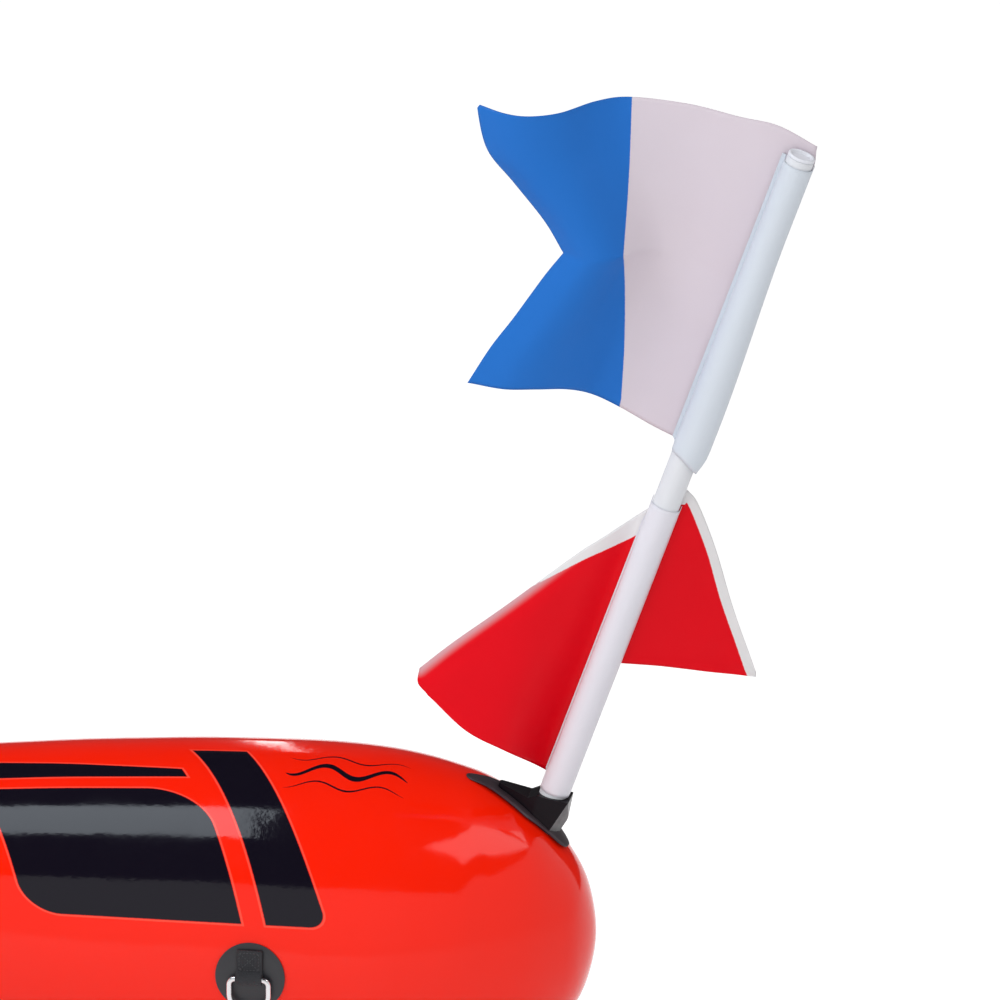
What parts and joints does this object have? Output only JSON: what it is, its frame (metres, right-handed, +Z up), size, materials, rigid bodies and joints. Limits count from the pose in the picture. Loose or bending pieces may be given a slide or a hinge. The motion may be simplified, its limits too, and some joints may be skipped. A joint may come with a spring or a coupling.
{
  "type": "dive flag float",
  "caption": "Inflatable torpedo float with a raked flag mast on its tail, two flags that turn on the mast, a plug valve, a ballast pouch and D-rings.",
  "frame": {"origin": "on the flat base of the ballast pouch, under the hull, where the float stands", "axes": "+X along the hull from the nose to the tail, +Y to its left side, +Z up"},
  "size_m": [0.886, 0.2648, 0.7295],
  "materials": {
    "hull_pvc": "glossy red-orange coated PVC with printed black bands",
    "black_pvc": "satin black PVC patch",
    "saddle_grey": "dull dark grey PVC patch",
    "socket_rubber": "satin black moulded rubber",
    "mast_plastic": "semi-gloss white plastic tube",
    "black_plastic": "fine matt black plastic",
    "alfa_cloth": "thin PVC sheet, blue fly and white hoist",
    "diver_cloth": "thin red PVC sheet with white margins",
    "sleeve_pvc": "thin whitish PVC sheet",
    "webbing": "black woven webbing",
    "ring_steel": "polished stainless wire",
    "ballast": "cast weight"
  },
  "bodies": {
    "hull": {"float_shell": "hull_pvc", "nose_cap": "black_pvc", "keel_pouch": "black_pvc", "ballast_weight": "ballast", "saddle_patch": "saddle_grey", "mast_socket": "socket_rubber", "valve_patch": "hull_pvc", "valve_base": "black_plastic", "valve_flap": "socket_rubber", "gear_patch_1": "black_pvc", "gear_patch_2": "black_pvc", "gear_patch_3": "black_pvc", "gear_patch_4": "black_pvc", "gear_1_tab": "webbing", "gear_2_tab": "webbing", "gear_3_tab": "webbing", "gear_4_tab": "webbing", "tow_tab": "webbing"},
    "mast": {"mast_tube": "mast_plastic", "mast_top_cap": "mast_plastic", "mast_foot_plug": "black_plastic"},
    "alfa": {"alfa_flag": "alfa_cloth", "alfa_pocket": "sleeve_pvc"},
    "diver": {"diver_flag": "diver_cloth", "diver_pocket": "sleeve_pvc"},
    "valve_plug": {"valve_cap": "black_plastic"},
    "gear_ring_1": {"gear_1_ring": "ring_steel"},
    "gear_ring_2": {"gear_2_ring": "ring_steel"},
    "gear_ring_3": {"gear_3_ring": "ring_steel"},
    "gear_ring_4": {"gear_4_ring": "ring_steel"},
    "tow_eye": {"tow_ring": "ring_steel"}
  },
  "joints": [
    {"name": "mast_lift", "type": "slide", "parent": "hull", "child": "mast", "axis": [0.342, 0, 0.9397], "range_m": [0, 0.0275]},
    {"name": "alfa_turn", "type": "hinge", "parent": "mast", "child": "alfa", "pos_m": [0.308, 0, 0.232], "axis": [0.342, 0, 0.9397], "continuous": true},
    {"name": "diver_turn", "type": "hinge", "parent": "mast", "child": "diver", "pos_m": [0.308, 0, 0.232], "axis": [0.342, 0, 0.9397], "continuous": true},
    {"name": "valve_cap_pull", "type": "slide", "parent": "hull", "child": "valve_plug", "axis": [-0.1379, 0, 0.9904], "range_m": [0, 0.009]},
    {"name": "gear_ring_1_swing", "type": "hinge", "parent": "hull", "child": "gear_ring_1", "pos_m": [-0.15084, -0.10593, 0.135], "axis": [-0.9904, 0.1379, 0], "range_deg": [0, 150]},
    {"name": "gear_ring_2_swing", "type": "hinge", "parent": "hull", "child": "gear_ring_2", "pos_m": [0.11989, -0.12824, 0.135], "axis": [-0.9998, 0.0179, 0], "range_deg": [0, 150]},
    {"name": "gear_ring_3_swing", "type": "hinge", "parent": "hull", "child": "gear_ring_3", "pos_m": [-0.15084, 0.10593, 0.135], "axis": [0.9904, 0.1379, 0], "range_deg": [0, 150]},
    {"name": "gear_ring_4_swing", "type": "hinge", "parent": "hull", "child": "gear_ring_4", "pos_m": [0.11989, 0.12824, 0.135], "axis": [0.9998, 0.0179, 0], "range_deg": [0, 150]},
    {"name": "tow_ring_swing", "type": "hinge", "parent": "hull", "child": "tow_eye", "pos_m": [-0.3921, 0, 0.135], "axis": [0, 1, 0], "range_deg": [-20, 160]}
  ]
}
